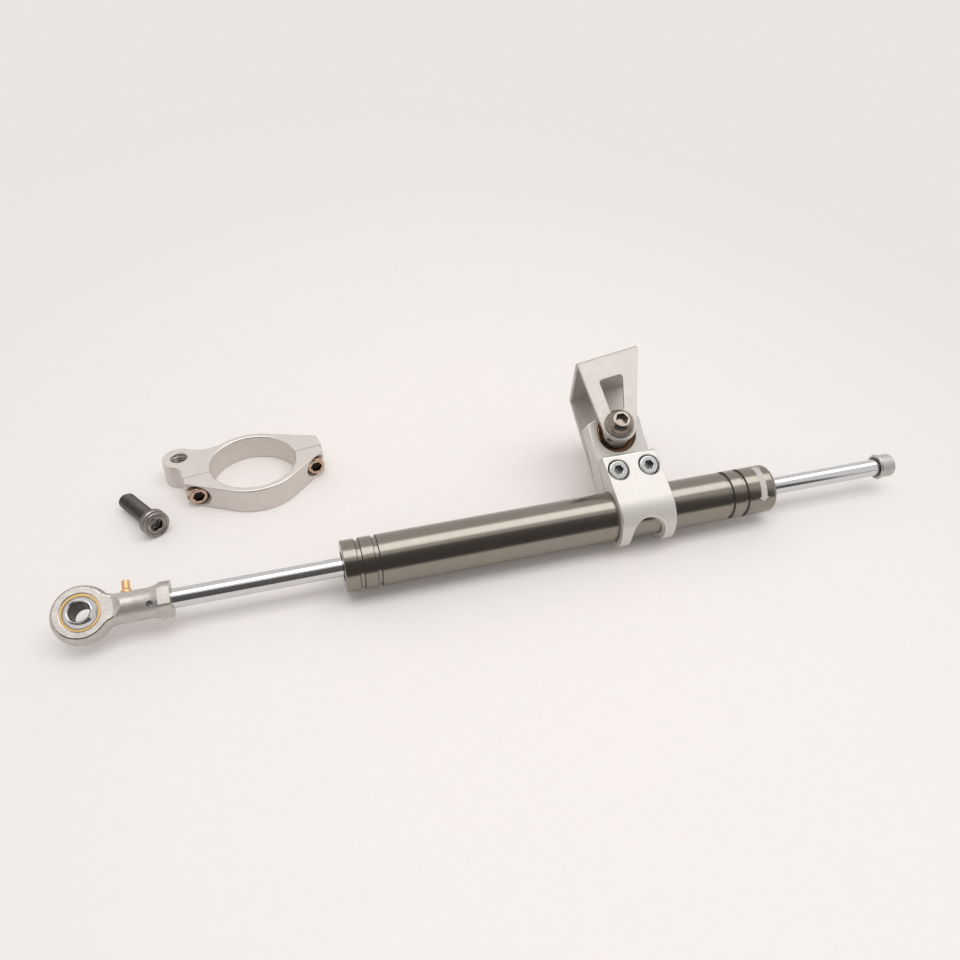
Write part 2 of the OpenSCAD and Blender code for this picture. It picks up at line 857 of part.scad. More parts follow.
// Spacer with a wide rim under the bracket, tapered to the ball so that the bolt can lean
module pivot_spacer() {
    color([0.7, 0.66, 0.62]) at_pivot() along_y(-bracket_back) rotate_extrude() polygon([
        [pivot_r, 0], [spacer_wide_r, 0], [spacer_wide_r, spacer_rim], [spacer_r, spacer_length],
        [pivot_r, spacer_length]]);
}

module pivot_collar() {
    color([0.7, 0.66, 0.62]) at_pivot() along_y(ball_width / 2) difference() {
        cylinder(h = collar_length, r = spacer_r);
        translate([0, 0, -over]) cylinder(h = collar_length + 2 * over, r = pivot_r);
    }
}

module pivot_nut() {
    corner_r = nut_flats / sqrt(3) - corner_cut;
    color([0.72, 0.72, 0.74]) at_pivot() along_y(nut_start) difference() {
        intersection() {
            cylinder(h = nut_height, d = nut_flats * 2 / sqrt(3), $fn = 6);
            cylinder(h = nut_height, r = corner_r);
        }
        translate([0, 0, -over]) cylinder(h = nut_height + 2 * over, r = pivot_r);
    }
}

// Frame bracket

// Front plate seen from the front: round nose at the pivot, full width at the ridge
module front_plate_outline() {
    top = ridge_height - bend_r;
    left = [bracket_left, top];
    right = [bracket_right, top];
    left_turn = atan2(left[1], left[0]) + acos(nose_r / norm(left));
    right_turn = atan2(right[1], right[0]) - acos(nose_r / norm(right));
    difference() {
        union() {
            circle(nose_r);
            polygon([[0, 0], (nose_r - bite) * [cos(right_turn), sin(right_turn)], right, left,
                (nose_r - bite) * [cos(left_turn), sin(left_turn)]]);
        }
        circle(pivot_r + running);
        round_polygon([[window_bottom_left, window_bottom], [window_bottom_right, window_bottom],
            [window_top_right, window_top], [window_top_left, window_top]], window_r);
    }
}

// Bend of the sheet from one direction to another, about the bend's centre
module bend_section(from, to) {
    reach = 2 * bend_r;
    intersection() {
        difference() {
            circle(bend_r);
            circle(bend_r - sheet);
        }
        polygon([[0, 0], reach * [cos(from), sin(from)],
            reach * [cos((from + to) / 2), sin((from + to) / 2)] * sqrt(2), reach * [cos(to), sin(to)]]);
    }
}

// Side view of the bends and the web between them, drawn as Y across and Z up
module bracket_side_view() {
    ridge = [bend_r - bracket_front, ridge_height - bend_r];
    rear = [rear_y - bend_r, rear_top];
    up = 90 - atan2(ridge[1] - rear[1], rear[0] - ridge[0]);
    out = [cos(up), sin(up)];
    translate(ridge) bend_section(up, 180);
    translate(rear) bend_section(0, up);
    polygon([ridge + (bend_r - sheet) * out, rear + (bend_r - sheet) * out,
        rear + bend_r * out, ridge + bend_r * out]);
}

// Sideways shift of the rear plate at the given height below its bend
function rear_shift(z) = (z - rear_top) * tan(rear_skew);

// Rear plate seen from the front, with the holes for the frame
module rear_plate_outline() {
    low = rear_shift(rear_bottom);
    hole_middle = bracket_offset + rear_shift(frame_hole_z);
    difference() {
        polygon([[bracket_left + low, rear_bottom], [bracket_right + low, rear_bottom],
            [bracket_right, rear_top], [bracket_left, rear_top]]);
        for (side = [-1, 1])
            translate([hole_middle + side * frame_hole_spacing / 2, frame_hole_z]) circle(d = frame_hole_d);
    }
}

module frame_bracket() {
    color([0.8, 0.78, 0.75]) at_bracket() {
        translate([0, -bracket_back, 0]) rotate([90, 0, 0])
            linear_extrude(height = sheet) front_plate_outline();
        translate([bracket_offset, 0, 0]) rotate([90, 0, 90])
            linear_extrude(height = bracket_width, center = true) bracket_side_view();
        translate([0, rear_y, 0]) rotate([90, 0, 0])
            linear_extrude(height = sheet) rear_plate_outline();
    }
}

// Fork clamp

// Tangent point on the fork clamp's ring for a flange corner, on the given side
function ring_tangent(corner, side) =
    let (turn = atan2(corner[1], corner[0]) + side * acos(fork_out_r / norm(corner)))
    (fork_out_r - bite) * [cos(turn), sin(turn)];

// Puts a shape at each fork clamp bolt, built along Z from the bolt seat inward
module at_fork_bolts() {
    for (side = [-1, 1]) translate([side * fork_bolt_x, 0, fork_height / 2]) along_y(-fork_seat) children();
}

module fork_ear_outline() {
    ear = [ear_x, ear_y];
    corner = [fork_half, fork_rear_tip];
    reach = norm(ear);
    along = ear / reach;
    far = (pow(fork_out_r + ear_sweep, 2) - pow(ear_r + ear_sweep, 2) + reach * reach) / (2 * reach);
    aside = sqrt(pow(fork_out_r + ear_sweep, 2) - far * far);
    sweep = far * along + aside * [along[1], -along[0]];
    hollow_x = ear_side - ear_fillet;
    hollow = [hollow_x, ear_y - sqrt(pow(ear_r + ear_fillet, 2) - pow(ear_x - hollow_x, 2))];
    circle(fork_out_r);
    translate(ear) circle(ear_r);
    hollow_corner([0, 0], ear, sweep, ear_sweep);
    polygon([[0, 0], [fork_half, 0], corner, ring_tangent(corner, 1)]);
    polygon([[0, 0], ear, [ear_side, hollow[1]], [ear_side, 0]]);
    difference() {
        polygon([ear, hollow, [ear_side, hollow[1]]]);
        translate(hollow) circle(ear_fillet);
    }
}

module fork_clamp_ear_half() {
    color([0.85, 0.83, 0.8]) at_fork() difference() {
        linear_extrude(height = fork_height) difference() {
            fork_ear_outline();
            circle(fork_r);
            translate([-2 * fork_half, -2 * fork_half]) square([4 * fork_half, 2 * fork_half]);
            translate([ear_x, ear_y]) circle(d = ear_thread);
        }
        translate([ear_x, ear_y, fork_height - fork_edge])
            cylinder(h = 2 * fork_edge, d1 = ear_thread, d2 = ear_thread + 4 * fork_edge);
        at_fork_bolts() cylinder(h = fork_screw_length + screw_runout, d = screw_d);
    }
}

module fork_clamp_cap_half() {
    left = [-fork_front_half, -fork_front_tip];
    right = [fork_front_half, -fork_front_tip];
    color([0.85, 0.83, 0.8]) at_fork() difference() {
        linear_extrude(height = fork_height) difference() {
            union() {
                circle(fork_out_r);
                polygon([[-fork_front_half, 0], left, ring_tangent(left, 1), [0, 0],
                    ring_tangent(right, -1), right, [fork_front_half, 0]]);
            }
            circle(fork_r);
            translate([-2 * fork_half, -fork_gap]) square([4 * fork_half, 2 * fork_half]);
        }
        at_fork_bolts() {
            cylinder(h = fork_seat + over, d = screw_d + 2 * screw_play);
            translate([0, 0, -fork_half]) cylinder(h = fork_half, d = fork_pocket_d);
        }
    }
}

module fork_clamp_bolts() {
    color([0.72, 0.56, 0.47]) at_fork() at_fork_bolts()
        socket_screw(screw_d, fork_screw_length, screw_head_d, screw_head, fork_socket,
            fork_socket_depth);
}

// Loose bolt

module mounting_bolt() {
    color([0.3, 0.29, 0.3]) translate([loose_x, loose_y, floor_z + bolt_head_d / 2 * cos(bolt_lie)])
        rotate([0, 90 + bolt_lie, loose_turn])
            socket_screw(bolt_d, bolt_length, bolt_head_d, bolt_head, bolt_socket, bolt_socket_depth);
}

cylinder_tube();
left_head();
right_head();
left_guide_bush();
right_guide_bush();
left_rod_seal();
right_rod_seal();
left_wiper();
right_wiper();
head_o_rings();
piston_rod();
piston();
piston_circlips();
piston_band();
adjuster_knob();
adjuster_needle();
detent_ball();
detent_spring();
rod_end_housing();
rod_end_liner();
rod_end_ball();
grease_nipple();
clamp_front_half();
clamp_rear_half();
clamp_screws();
swivel_race();
swivel_ball();
pivot_bolt();
pivot_spacer();
pivot_collar();
pivot_nut();
frame_bracket();
fork_clamp_ear_half();
fork_clamp_cap_half();
fork_clamp_bolts();
mounting_bolt();
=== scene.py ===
# %% [markdown]
# # A motorcycle steering damper
# A steering damper is a small oil-filled cylinder with a rod running right through it. The rod end
# is bolted to the fork, the clamp round the cylinder is bolted to the frame, and the oil slows the
# handlebar's swing. Here it lies on a white table beside its fork clamp and one loose bolt.
#
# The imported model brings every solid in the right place, so this lesson is about looks: a camera,
# soft light, metal finishes, and the small forms that a solid model leaves out.

# %% Load the solids
import json
from math import atan, ceil, cos, degrees, pi, radians, sin

import bmesh
import bpy
import numpy as np
from mathutils import Matrix, Vector


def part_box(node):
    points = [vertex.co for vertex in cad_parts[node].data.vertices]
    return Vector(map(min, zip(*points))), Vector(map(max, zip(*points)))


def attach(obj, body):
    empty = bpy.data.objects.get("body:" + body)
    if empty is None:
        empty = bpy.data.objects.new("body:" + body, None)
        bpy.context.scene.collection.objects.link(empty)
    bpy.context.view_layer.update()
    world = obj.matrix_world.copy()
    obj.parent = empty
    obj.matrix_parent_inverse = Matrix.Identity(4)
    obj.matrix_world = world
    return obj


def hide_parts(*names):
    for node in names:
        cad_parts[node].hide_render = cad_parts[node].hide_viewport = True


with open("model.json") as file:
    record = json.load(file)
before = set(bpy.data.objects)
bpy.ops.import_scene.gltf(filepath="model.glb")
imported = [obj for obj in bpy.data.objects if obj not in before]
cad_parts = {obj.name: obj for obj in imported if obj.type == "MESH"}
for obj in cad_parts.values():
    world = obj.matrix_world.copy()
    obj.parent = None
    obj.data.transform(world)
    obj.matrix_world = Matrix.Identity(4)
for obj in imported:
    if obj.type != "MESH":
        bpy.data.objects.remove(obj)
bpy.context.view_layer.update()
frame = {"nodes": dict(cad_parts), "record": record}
MM = 0.001

# %% [markdown]
# ## Camera
# The photograph was taken from the left, about 38 degrees above the table, with a lens of normal
# width. A camera is placed by three directions: right, up and backward. Building them from yaw,
# pitch and roll keeps each angle readable.

# %% Camera
CAMERA_PLACE = Vector((80.3, -278.7, 258.6)) * MM
YAW, PITCH, ROLL = radians(16.29), radians(37.80), radians(-0.418)
IMAGE_SIZE, FOCAL_PIXELS, SENSOR = 960, 899.0, 36
NEAREST, FURTHEST = 0.01, 20


def camera_matrix():
    level = Vector((sin(YAW), cos(YAW), 0))
    right = Vector((cos(YAW), -sin(YAW), 0))
    ahead = level * cos(PITCH) - Vector((0, 0, sin(PITCH)))
    down = -level * sin(PITCH) - Vector((0, 0, cos(PITCH)))
    rolled_right = right * cos(ROLL) + down * sin(ROLL)
    rolled_down = down * cos(ROLL) - right * sin(ROLL)
    turn = Matrix((rolled_right, -rolled_down, -ahead)).transposed()
    return Matrix.Translation(CAMERA_PLACE) @ turn.to_4x4()


camera = bpy.data.objects.new("camera", bpy.data.cameras.new("camera"))
camera.data.sensor_width = SENSOR
camera.data.lens = SENSOR * FOCAL_PIXELS / IMAGE_SIZE
camera.data.clip_start, camera.data.clip_end = NEAREST, FURTHEST
camera.matrix_world = camera_matrix()
bpy.context.scene.collection.objects.link(camera)
bpy.context.scene.camera = camera
print("camera lens: %.1f mm" % camera.data.lens)

# %% [markdown]
# ## Table and light
# Product pictures of metal are lit with one large soft box overhead and a dark cloth in front: the
# box gives the long highlight on the tube, the cloth gives the dark band below it, and the white
# table lights the underside. Many small lamps would give many small highlights, so one box does
# the work. The cloth hangs only in front and to the left, because the rod's far end shows no band,
# and a runner of it lies on the table in front. Both are there for reflections alone and take no
# light away, so they are hidden from the camera, from diffuse rays and from shadow rays. The box's
# bright face is such a sheet too: metal mirrors this face, and the lamp itself only sheds light, so
# the highlight and the shadow can each be given their own place and size.

# %% Table
TABLE_HALF = 5
table_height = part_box("fork_clamp_ear_half")[0].z


def new_object(name, shape):
    mesh = bpy.data.meshes.new(name)
    shape.to_mesh(mesh)
    shape.free()
    made = bpy.data.objects.new(name, mesh)
    bpy.context.scene.collection.objects.link(made)
    return made


shape = bmesh.new()
bmesh.ops.create_grid(shape, x_segments=1, y_segments=1, size=TABLE_HALF)
bmesh.ops.translate(shape, verts=shape.verts, vec=(0, 0, table_height))
table = new_object("table", shape)
print("table at %.1f mm" % (table_height / MM))

# %% Soft box
BOX_PLACE, BOX_SIZE, BOX_POWER = Vector((0.5, -0.25, 1.6)), (1.9, 0.9), 12.4

soft_box = bpy.data.lights.new("soft_box", "AREA")
soft_box.shape = "RECTANGLE"
soft_box.size, soft_box.size_y = BOX_SIZE
soft_box.energy = BOX_POWER
lamp = bpy.data.objects.new("soft_box", soft_box)
lamp.location = BOX_PLACE
lamp.visible_glossy = False
bpy.context.scene.collection.objects.link(lamp)
print("soft box %.1f W" % BOX_POWER)

# %% Dark cloth
CLOTH_LEFT, CLOTH_RIGHT, CLOTH_Y, CLOTH_TOP, RUNNER_Y = -1.6, 0.96, -0.9, 1.6, -0.12


def sheet(name, corners):
    shape = bmesh.new()
    shape.faces.new([shape.verts.new(corner) for corner in corners])
    made = new_object(name, shape)
    made.visible_camera = False
    made.visible_diffuse = False
    made.visible_shadow = False
    return made


low, high = table_height + MM, table_height + CLOTH_TOP
cloth = sheet("dark_cloth", ((CLOTH_LEFT, CLOTH_Y, low), (CLOTH_RIGHT, CLOTH_Y, low),
                             (CLOTH_RIGHT, CLOTH_Y, high), (CLOTH_LEFT, CLOTH_Y, high)))
runner = sheet("dark_runner", ((CLOTH_LEFT, CLOTH_Y, low), (CLOTH_RIGHT, CLOTH_Y, low),
                               (CLOTH_RIGHT, RUNNER_Y, low), (CLOTH_LEFT, RUNNER_Y, low)))
print("cloth %.1f m wide" % (CLOTH_RIGHT - CLOTH_LEFT))

# %% Bright face of the soft box
FACE_PLACE, FACE_SIZE = Vector((0.5, 0.14, 1.6)), (2.2, 0.96)
left, right = FACE_PLACE.x - FACE_SIZE[0] / 2, FACE_PLACE.x + FACE_SIZE[0] / 2
front, back = FACE_PLACE.y - FACE_SIZE[1] / 2, FACE_PLACE.y + FACE_SIZE[1] / 2
height = FACE_PLACE.z
box_face = sheet("soft_box_face", ((left, front, height), (right, front, height),
                                   (right, back, height), (left, back, height)))
print("box face at %.1f m" % height)

# %% [markdown]
# ## Room
# The room is one even pale colour. Light Path tells which rays only look at the room: those see it
# nearly white, also in a reflection, while the light that it sheds on the object stays moderate.

# %% Room
ROOM_COLOUR = (0.91, 0.885, 0.865, 1)
ROOM_LIGHT, ROOM_LOOK = 0.71, 0.89


def looking_rays(tree):
    rays = tree.nodes.new("ShaderNodeLightPath")
    seen = rays.outputs["Is Camera Ray"]
    for kind in ("Is Glossy Ray", "Is Transmission Ray"):
        either = tree.nodes.new("ShaderNodeMath")
        either.operation = "MAXIMUM"
        tree.links.new(seen, either.inputs[0])
        tree.links.new(rays.outputs[kind], either.inputs[1])
        seen = either.outputs[0]
    return seen


world = bpy.data.worlds.new("room")
bpy.context.scene.world = world
world.use_nodes = True
sky = world.node_tree
sky.nodes["Background"].inputs["Color"].default_value = ROOM_COLOUR
level = sky.nodes.new("ShaderNodeMapRange")
level.inputs["To Min"].default_value = ROOM_LIGHT
level.inputs["To Max"].default_value = ROOM_LOOK
sky.links.new(looking_rays(sky), level.inputs["Value"])
sky.links.new(level.outputs["Result"], sky.nodes["Background"].inputs["Strength"])
bpy.context.scene.view_settings.view_transform = "Standard"
print("room light %.2f" % ROOM_LIGHT)

# %% [markdown]
# ## Finishes
# Each finish is one shader with a little noise: noise in the roughness breaks up reflections, and
# noise in a bump gives a blasted or forged skin. Most values of a noise lie near the middle, so
# that range is spread over the wanted one. The patterns read Object coordinates in metres, so a
# noise scale of 1000 means details about one millimetre across. A pattern stretched fifty times in
# two directions becomes rings round the rod, like the marks of a lathe tool.

# %% Noise for a finish
NOISE_LOW, NOISE_HIGH, NOISE_DETAIL = 0.3, 0.7, 3


def noise_at(tree, scale, stretch):
    place = tree.nodes.new("ShaderNodeTexCoord")
    turn = tree.nodes.new("ShaderNodeMapping")
    turn.inputs["Scale"].default_value = stretch
    tree.links.new(place.outputs["Object"], turn.inputs["Vector"])
    noise = tree.nodes.new("ShaderNodeTexNoise")
    noise.inputs["Scale"].default_value = scale
    noise.inputs["Detail"].default_value = NOISE_DETAIL
    tree.links.new(turn.outputs["Vector"], noise.inputs["Vector"])
    return noise.outputs["Fac"]


def spread(tree, value, low, high):
    reach = tree.nodes.new("ShaderNodeMapRange")
    reach.inputs["From Min"].default_value = NOISE_LOW
    reach.inputs["From Max"].default_value = NOISE_HIGH
    reach.inputs["To Min"].default_value = low
    reach.inputs["To Max"].default_value = high
    tree.links.new(value, reach.inputs["Value"])
    return reach.outputs["Result"]


print("noise is spread from %.1f to %.1f" % (NOISE_LOW, NOISE_HIGH))

# %% [markdown]
# ## One recipe for every finish
# A finish has a colour that is mottled a little, a roughness, and a bump with its height in
# millimetres and the scale of its grain. One function holds the recipe, so that each finish of the
# damper is a single line that can be compared with the next.

# %% A finish from its numbers
MOTTLE_SCALE, ROUGH_SPREAD, EVEN = 260, 0.15, (1, 1, 1)


def metal(name, colour, rough, bump=0, grain=1500, stretch=EVEN, mottle=0.06, metallic=1.0):
    made = bpy.data.materials.new(name)
    made.use_nodes = True
    tree = made.node_tree
    shader = tree.nodes["Principled BSDF"]
    shader.inputs["Metallic"].default_value = metallic
    mix = tree.nodes.new("ShaderNodeMix")
    mix.data_type = "RGBA"
    mix.inputs["A"].default_value = [c * (1 - mottle) for c in colour] + [1]
    mix.inputs["B"].default_value = [min(1, c * (1 + mottle)) for c in colour] + [1]
    cloud = spread(tree, noise_at(tree, MOTTLE_SCALE, stretch), 0, 1)
    tree.links.new(cloud, mix.inputs["Factor"])
    tree.links.new(mix.outputs["Result"], shader.inputs["Base Color"])
    skin = noise_at(tree, grain, stretch)
    gloss = spread(tree, skin, rough * (1 - ROUGH_SPREAD), rough * (1 + ROUGH_SPREAD))
    tree.links.new(gloss, shader.inputs["Roughness"])
    if bump:
        raised = tree.nodes.new("ShaderNodeBump")
        raised.inputs["Strength"].default_value = 1
        raised.inputs["Distance"].default_value = bump * MM
        tree.links.new(skin, raised.inputs["Height"])
        tree.links.new(raised.outputs["Normal"], shader.inputs["Normal"])
    return made


print("mottling is about %.0f mm across" % (1 / MOTTLE_SCALE / MM))

# %% Finishes by material slot
TURNED = (1, 0.02, 0.02)
finishes = {
    "anodised": metal("bronze_anodised", (0.285, 0.258, 0.225), 0.2, 0.0008, 4000, TURNED, 0.03),
    "chrome": metal("hard_chrome", (0.66, 0.66, 0.675), 0.1, 0, 3000, TURNED, 0.02),
    "knob_metal": metal("satin_knob", (0.54, 0.52, 0.495), 0.5, 0.002, 4000, TURNED, metallic=0.7),
    "nickel": metal("forged_nickel", (0.53, 0.50, 0.465), 0.33, 0.07, 1300, mottle=0.12,
                    metallic=0.65),
    "brass": metal("turned_brass", (0.55, 0.375, 0.17), 0.35, 0.002, 2500),
    "copper_brass": metal("nipple_brass", (0.76, 0.47, 0.25), 0.3, 0.002, 2500),
    "clamp_silver": metal("clear_anodised", (0.64, 0.615, 0.58), 0.4, 0.002, 5000, TURNED,
                          mottle=0.02, metallic=0.3),
    "stainless": metal("satin_stainless", (0.53, 0.50, 0.465), 0.5, 0.003, 3000, mottle=0.05,
                       metallic=0.5),
    "ball_steel": metal("dark_polished", (0.30, 0.26, 0.235), 0.12, 0, 3000),
    "fork_silver": metal("bead_blasted", (0.71, 0.66, 0.62), 0.5, 0.008, 4200, mottle=0.03,
                         metallic=0.6),
    "copper_plated": metal("coppery_plating", (0.58, 0.42, 0.33), 0.32, 0.003, 2500),
    "black_steel": metal("black_oxide", (0.165, 0.15, 0.14), 0.36, 0.006, 2600, mottle=0.2),
    "bearing_bronze": metal("sintered_bronze", (0.62, 0.42, 0.20), 0.45, 0.006, 3000),
    "rubber": metal("seal_rubber", (0.025, 0.025, 0.026), 0.6, 0.004, 3000, metallic=0.0),
    "guide_plastic": metal("guide_plastic", (0.10, 0.22, 0.16), 0.5, 0.003, 3000, metallic=0.0),
    "piston_metal": metal("turned_aluminium", (0.70, 0.70, 0.72), 0.3, 0.002, 4000, TURNED),
    "spring_steel": metal("spring_steel", (0.35, 0.35, 0.37), 0.35, 0.002, 3000),
}
slots = {entry["node"]: entry["material_slot"] for entry in frame["record"]["subparts"]}
members = frame["record"]["behaviour"]["bodies"]
bodies = {node: body for body in members for node in members[body]}
print("finishes:", len(finishes))

# %% [markdown]
# ## Pieces with a finish of their own
# The clamp screws and the pivot's pieces share one stainless slot, but each was made another way:
# the bolt is brown from its heat treatment, the spacer and the collar are polished, and the screws
# are bright plated. The bearing's race is copper, but its face is painted nearly black as the shade
# of its recess, and only its worn rims show copper. Each of these takes a finish of its own
# here, and every other solid takes the one that its slot names.

# %% Finishes by node
own_finishes = {
    "pivot_bolt": metal("browned_stainless", (0.31, 0.265, 0.23), 0.26, 0.016, 1200, mottle=0.2),
    "pivot_spacer": metal("polished_stainless", (0.46, 0.40, 0.36), 0.12, 0.001, 2000, mottle=0.1),
    "clamp_screws": metal("bright_plating", (0.72, 0.74, 0.74), 0.22, 0.002, 2500, mottle=0.04),
    # The race's near-black face is painted shade of its recess; its worn rims show the real copper.
    "swivel_race": metal("copper_race_painted_shade", (0.09, 0.052, 0.03), 0.2, 0.002, 2500),
}
own_finishes["pivot_collar"] = own_finishes["pivot_spacer"]


def finish_of(node):
    return own_finishes.get(node, finishes[slots[node]])


for name, solid in frame["nodes"].items():
    for place in solid.material_slots:
        place.material = finish_of(name)
print("finished solids:", len(frame["nodes"]))

# %% [markdown]
# ## Table and cloth finishes
# Close to the object the table is plain white paper that takes the shadows. Further out it turns
# slowly into the even colour of the room, the way a paper sweep does that is lit from behind. A
# curved sweep could be modelled, but a fade in the finish needs only the flat table.

# %% Paper that fades into the room
PAPER_MIDDLE, PAPER_STRETCH = (-0.3, -0.03, 0), (1.8, 1, 1)
PAPER_REACH, SWEEP_REACH = 0.1, 0.75


def fade_to_room(made):
    tree = made.node_tree
    place = tree.nodes.new("ShaderNodeTexCoord")
    shift = tree.nodes.new("ShaderNodeMapping")
    shift.inputs["Location"].default_value = PAPER_MIDDLE
    shift.inputs["Scale"].default_value = PAPER_STRETCH
    tree.links.new(place.outputs["Object"], shift.inputs["Vector"])
    length = tree.nodes.new("ShaderNodeVectorMath")
    length.operation = "LENGTH"
    tree.links.new(shift.outputs["Vector"], length.inputs[0])
    far = tree.nodes.new("ShaderNodeMapRange")
    far.interpolation_type = "SMOOTHSTEP"
    far.inputs["From Min"].default_value = PAPER_REACH
    far.inputs["From Max"].default_value = SWEEP_REACH
    tree.links.new(length.outputs["Value"], far.inputs["Value"])
    share = tree.nodes.new("ShaderNodeMath")
    share.operation = "MULTIPLY"
    tree.links.new(far.outputs["Result"], share.inputs[0])
    tree.links.new(looking_rays(tree), share.inputs[1])
    glow = tree.nodes.new("ShaderNodeEmission")
    glow.inputs["Color"].default_value = ROOM_COLOUR
    glow.inputs["Strength"].default_value = ROOM_LOOK
    blend = tree.nodes.new("ShaderNodeMixShader")
    tree.links.new(share.outputs[0], blend.inputs["Fac"])
    tree.links.new(tree.nodes["Principled BSDF"].outputs["BSDF"], blend.inputs[1])
    tree.links.new(glow.outputs["Emission"], blend.inputs[2])
    tree.links.new(blend.outputs["Shader"], tree.nodes["Material Output"].inputs["Surface"])


print("paper fades from %.2f to %.2f m" % (PAPER_REACH, SWEEP_REACH))

# %% Table and cloth finishes
PAPER_COLOUR, PAPER_ROUGH = (0.94, 0.903, 0.88), 0.8
CLOTH_COLOUR, CLOTH_ROUGH = (0.13, 0.125, 0.12), 0.9
STAGE_MOTTLE, STAGE_SPECULAR, FACE_LIGHT = 0.01, 0.1, 2.65


def plain(name, colour, rough):
    made = metal(name, colour, rough, mottle=STAGE_MOTTLE, metallic=0.0)
    shader = made.node_tree.nodes["Principled BSDF"]
    shader.inputs["Specular IOR Level"].default_value = STAGE_SPECULAR
    return made


paper = plain("white_paper", PAPER_COLOUR, PAPER_ROUGH)
fade_to_room(paper)
table.data.materials.append(paper)
dark = plain("dark_grey_cloth", CLOTH_COLOUR, CLOTH_ROUGH)
for fabric in (cloth, runner):
    fabric.data.materials.append(dark)
glowing = plain("glowing_face", (0, 0, 0), CLOTH_ROUGH)
face_shader = glowing.node_tree.nodes["Principled BSDF"]
face_shader.inputs["Emission Color"].default_value = (1, 1, 1, 1)
face_shader.inputs["Emission Strength"].default_value = FACE_LIGHT
box_face.data.materials.append(glowing)
print("stage finishes:", paper.name, dark.name, glowing.name)

# %% [markdown]
# ## Softened edges
# No real edge is sharp: files, tumbling and handling round it, and the round catches a thin line of
# light. A Bevel modifier could do it, but the bevel operator hands back its new faces, so that they
# can take a finish of their own. The copy of a solid is welded first, and its flat triangles are
# joined, because a bevel follows real edges only when no others are near. In a tight fold it can
# leave a loose face behind, and a face with an open edge is deleted.

# %% Softening a shape
WELD, FLAT, SHARP, FACET = 1e-6, radians(0.5), radians(28), 3
EDGE, INSIDE = 1, 2


def join_flats(shape):
    bmesh.ops.remove_doubles(shape, verts=shape.verts, dist=WELD)
    bmesh.ops.dissolve_limit(shape, angle_limit=FLAT, verts=shape.verts, edges=shape.edges)


def soften(shape, width, crisp=None):
    for face in shape.faces:
        breadth = face.calc_area() / max(edge.calc_length() for edge in face.edges)
        curved = any(FLAT < edge.calc_face_angle(0) < SHARP for edge in face.edges)
        face.smooth = curved and breadth < FACET * MM
    sharp = [edge for edge in shape.edges if edge.calc_face_angle(0) >= SHARP]
    if crisp:
        sharp = [edge for edge in sharp if not crisp(edge)]
    rounded = bmesh.ops.bevel(shape, geom=sharp, offset=width * MM, offset_type="OFFSET",
                              affect="EDGES", segments=2, profile=0.5, material=-1)
    for face in rounded["faces"]:
        face.smooth = True
        face.material_index = EDGE
    loose = [face for face in shape.faces if any(edge.is_boundary for edge in face.edges)]
    bmesh.ops.delete(shape, geom=loose, context="FACES")
    for edge in shape.edges:
        sides = {face.material_index == EDGE for face in edge.link_faces}
        shallow = edge.calc_face_angle(0) < SHARP
        edge.smooth = sides == {True} or (sides == {False} and shallow)


print("edges of %.0f degrees and more are rounded" % degrees(SHARP))

# %% [markdown]
# ## Worn rounds and painted shade in hollows
# Handling wears an edge brighter and smoother than the faces beside it. A mask could mix two
# shaders, but a copy of the piece's own finish with other numbers is simpler. So a softened piece
# carries three finishes in a row: its own, the worn one for the bevel's faces, and a dark one that
# is painted shade in its hollows. On the tube the rounds lie in the grooves, so they take painted
# shade as well.

# %% Worn finishes and painted shade
# The race's large gain lifts its rims from the painted shade of its face back to copper.
EDGE_GAIN, OWN_EDGE_GAIN, EDGE_POLISH = 1.12, {"mounting_bolt": 2.2, "swivel_race": 5}, 0.6
# The next three finishes are painted shade: one for sockets, bores and the tube's groove rounds,
# one for the groove walls, and a plated one for the clamp screws' sockets.
hollow_shade = metal("painted_hollow_shade", (0.09, 0.083, 0.076), 0.45, 0.002, 2500)
shaded = metal("shaded_wall", (0.24, 0.215, 0.19), 0.5, 0.002, 2500, metallic=0.4)
plated_socket_shade = metal("plated_socket_painted_shade", (0.26, 0.28, 0.27), 0.3, 0.002, 2500)


def worn(made, gain):
    copy = made.copy()
    copy.name = made.name + "_edge"
    for node in copy.node_tree.nodes:
        if node.type == "MIX":
            for side in ("A", "B"):
                plain_colour = node.inputs[side].default_value
                node.inputs[side].default_value = [min(1, c * gain) for c in plain_colour]
    shader = copy.node_tree.nodes["Principled BSDF"]
    shader.inputs["Metallic"].default_value = 1
    rough = shader.inputs["Roughness"].links[0].from_node
    for end in ("To Min", "To Max"):
        rough.inputs[end].default_value *= EDGE_POLISH
    return copy


print("hollow finishes:", hollow_shade.name, shaded.name, plated_socket_shade.name)

# %% Dressing a piece
TUBE_NODES = ("cylinder_tube", "left_head", "right_head")
edge_finishes = {}


def dress(piece, node):
    made = finish_of(node)
    if made.name not in edge_finishes:
        edge_finishes[made.name] = worn(made, OWN_EDGE_GAIN.get(node, EDGE_GAIN))
    edge, inside = edge_finishes[made.name], hollow_shade
    # On the tube the groove rounds and the groove walls both take painted shade.
    if node in TUBE_NODES:
        edge, inside = hollow_shade, shaded
    # The clamp screws' sockets take a plated finish darkened as painted shade.
    if node == "clamp_screws":
        inside = plated_socket_shade
    for finish in (made, edge, inside):
        piece.data.materials.append(finish)
    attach(piece, bodies[node])
    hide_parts(node)


print("grooved pieces:", len(TUBE_NODES))

# %% [markdown]
# ## Edges that stay crisp
# Not every edge is rounded. On the rod end only the rims of the eye's two flat faces are. The two
# halves of the fork clamp meet in a fine line that a round would open, and the hole in its ear
# keeps its edge for the thread. On the tube and its heads only the grooves are rounded. Edges could
# be picked by number, but numbers change with the mesh, so a small test tells them apart.

